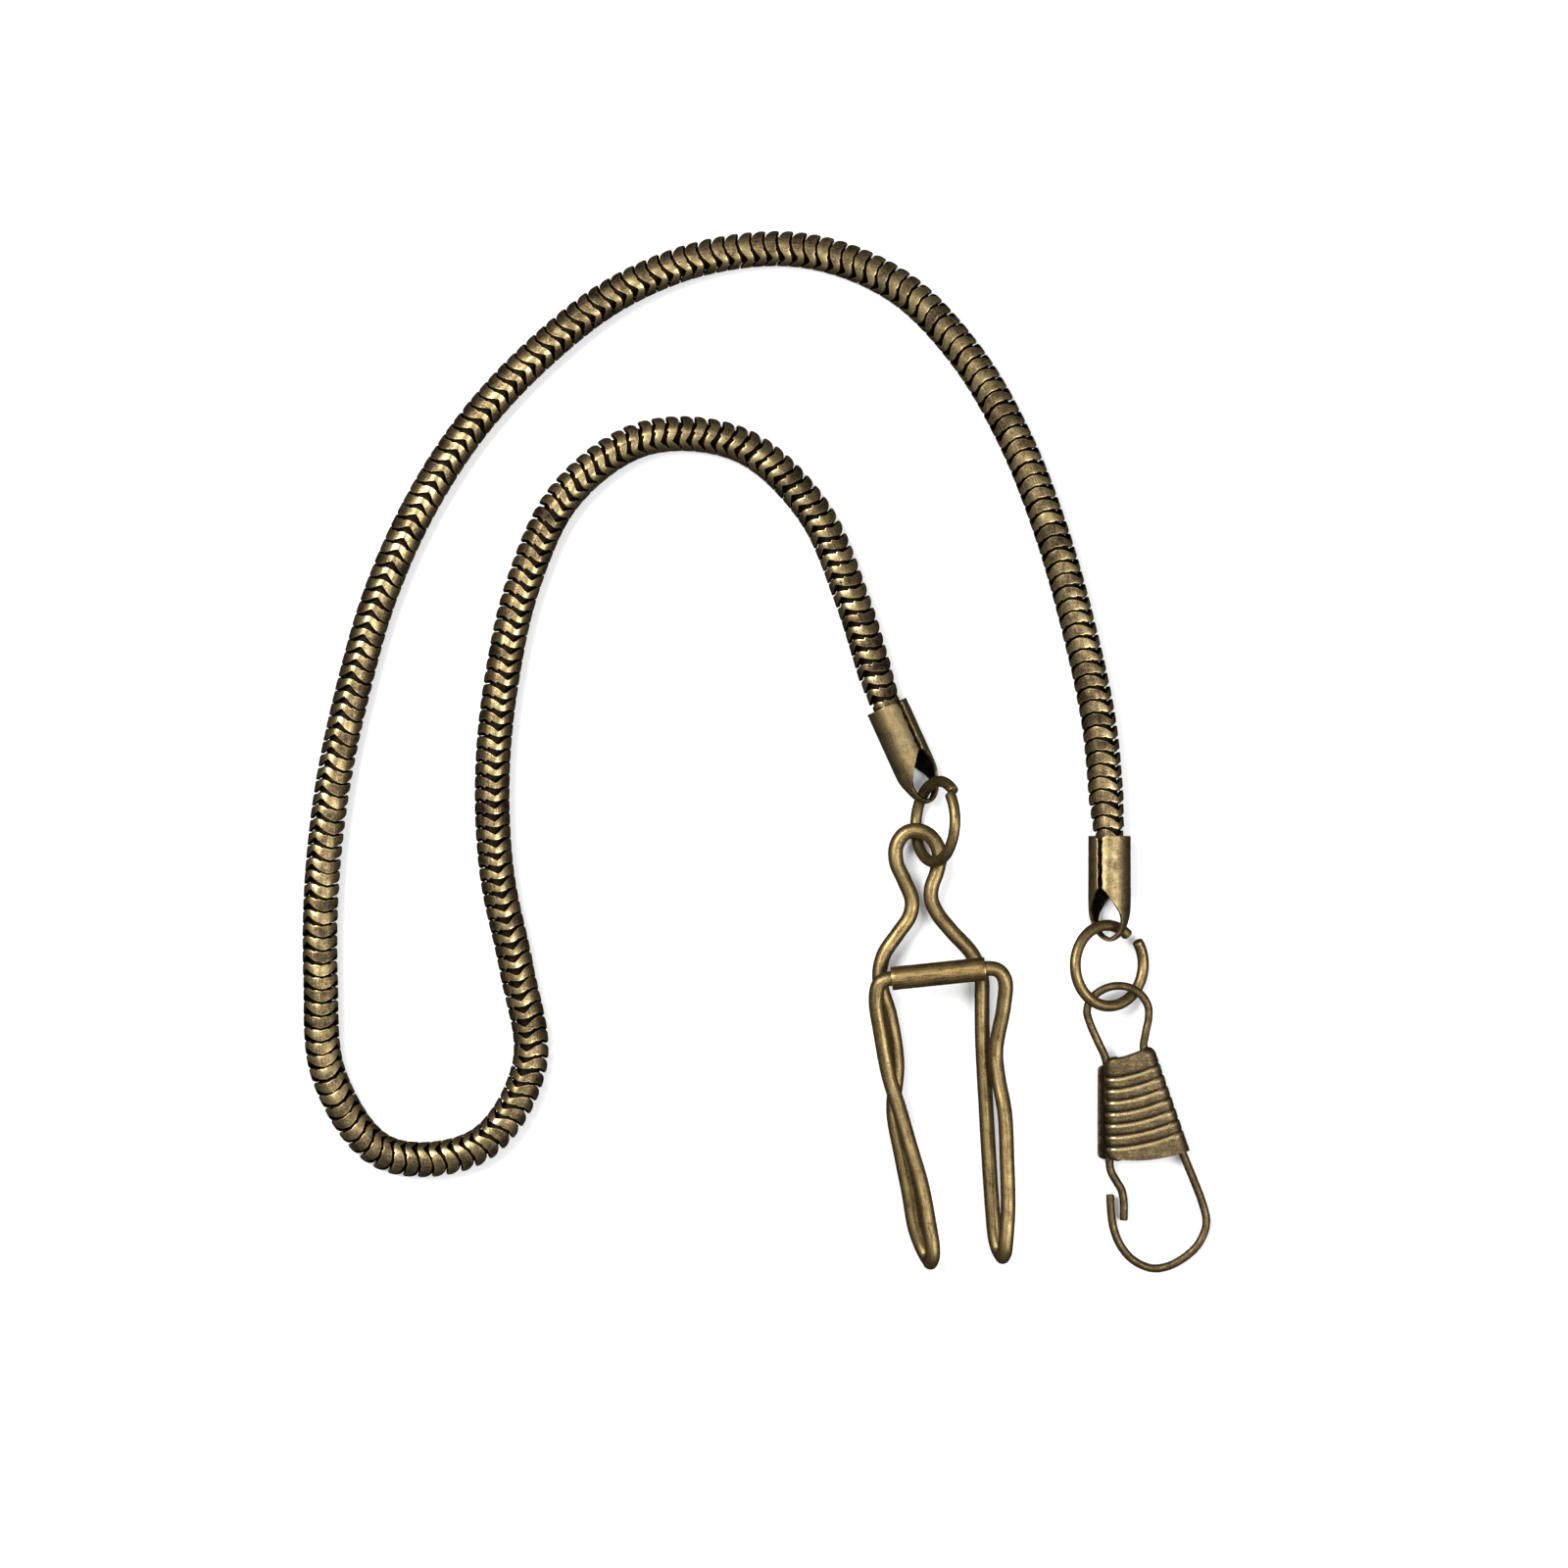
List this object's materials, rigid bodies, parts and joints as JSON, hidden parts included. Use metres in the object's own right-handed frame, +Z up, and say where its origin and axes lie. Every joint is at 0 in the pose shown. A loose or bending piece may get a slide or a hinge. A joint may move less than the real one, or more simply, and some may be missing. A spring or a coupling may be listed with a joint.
{
  "type": "pocket watch chain",
  "caption": "Antique brass snake chain with crimped end caps, a wire snap hook for a watch and a sprung wire clip for a pocket, joined by open jump rings.",
  "frame": {"origin": "on the surface that the chain lies on, under the middle of the box around the end fittings (caps, rings, snap hook and clip)", "axes": "+Z up from the surface, +Y from the snap hook's bend towards its end cap, +X to the right seen from above, across the fittings from the clip to the snap hook"},
  "size_m": [0.0835, 0.0957, 0.0076],
  "materials": {
    "chain_plates": "antique, dark in the recesses, worn bright on the edges",
    "cap_sheet": "antique, satin",
    "ring_wire": "antique, satin",
    "hook_wire": "antique, satin",
    "hook_sleeve": "antique, satin, ribs worn bright",
    "clip_wire": "antique, satin",
    "clip_tube": "antique, satin"
  },
  "bodies": {
    "chain": {"snake_chain": "chain_plates", "watch_end_cap": "cap_sheet", "watch_end_plates": "chain_plates", "clip_end_cap": "cap_sheet", "clip_end_plates": "chain_plates"},
    "watch_ring": {"watch_end_ring": "ring_wire"},
    "snap_hook": {"hook_wire": "hook_wire", "hook_sleeve": "hook_sleeve"},
    "gate": {"hook_gate": "hook_wire"},
    "clip_ring": {"clip_end_ring": "ring_wire"},
    "clip": {"clip_back_wire": "clip_wire"},
    "jaw": {"clip_jaw_wire": "clip_wire"},
    "roller": {"clip_tube": "clip_tube"}
  },
  "joints": [
    {"name": "watch_ring_swing", "type": "hinge", "parent": "chain", "child": "watch_ring", "pos_m": [0.00645, 0.0044, 0.00209], "axis": [-0.866, 0, -0.5], "range_deg": [0, 40]},
    {"name": "snap_hook_swing", "type": "hinge", "parent": "watch_ring", "child": "snap_hook", "pos_m": [0.0069, -0.0018, 0.0021], "axis": [0, -0.0698, 0.9976], "range_deg": [-20, 20]},
    {"name": "gate_flex", "type": "hinge", "parent": "snap_hook", "child": "gate", "pos_m": [0.00642, -0.01537, 0.00114], "axis": [0, -0.0698, 0.9976], "range_deg": [0, 25], "stiffness_Nm_per_rad": 0.02},
    {"name": "clip_ring_swing", "type": "hinge", "parent": "chain", "child": "clip_ring", "pos_m": [-0.01012, 0.01714, 0.00196], "axis": [-0.708, -0.321, 0.629], "range_deg": [0, 40]},
    {"name": "clip_swing", "type": "hinge", "parent": "clip_ring", "child": "clip", "pos_m": [-0.0106, 0.0113, 0.0021], "axis": [0, -0.0358, 0.9994], "range_deg": [-20, 12]},
    {"name": "jaw_flex", "type": "hinge", "parent": "clip", "child": "jaw", "pos_m": [-0.01002, -0.02531, 0.00213], "axis": [0.9969, 0.0783, 0.0028], "range_deg": [0, 8], "stiffness_Nm_per_rad": 0.1},
    {"name": "roller_spin", "type": "hinge", "parent": "jaw", "child": "roller", "pos_m": [-0.0093, 0.00121, 0.00448], "axis": [0.9946, 0.104, 0.0037], "continuous": true}
  ]
}
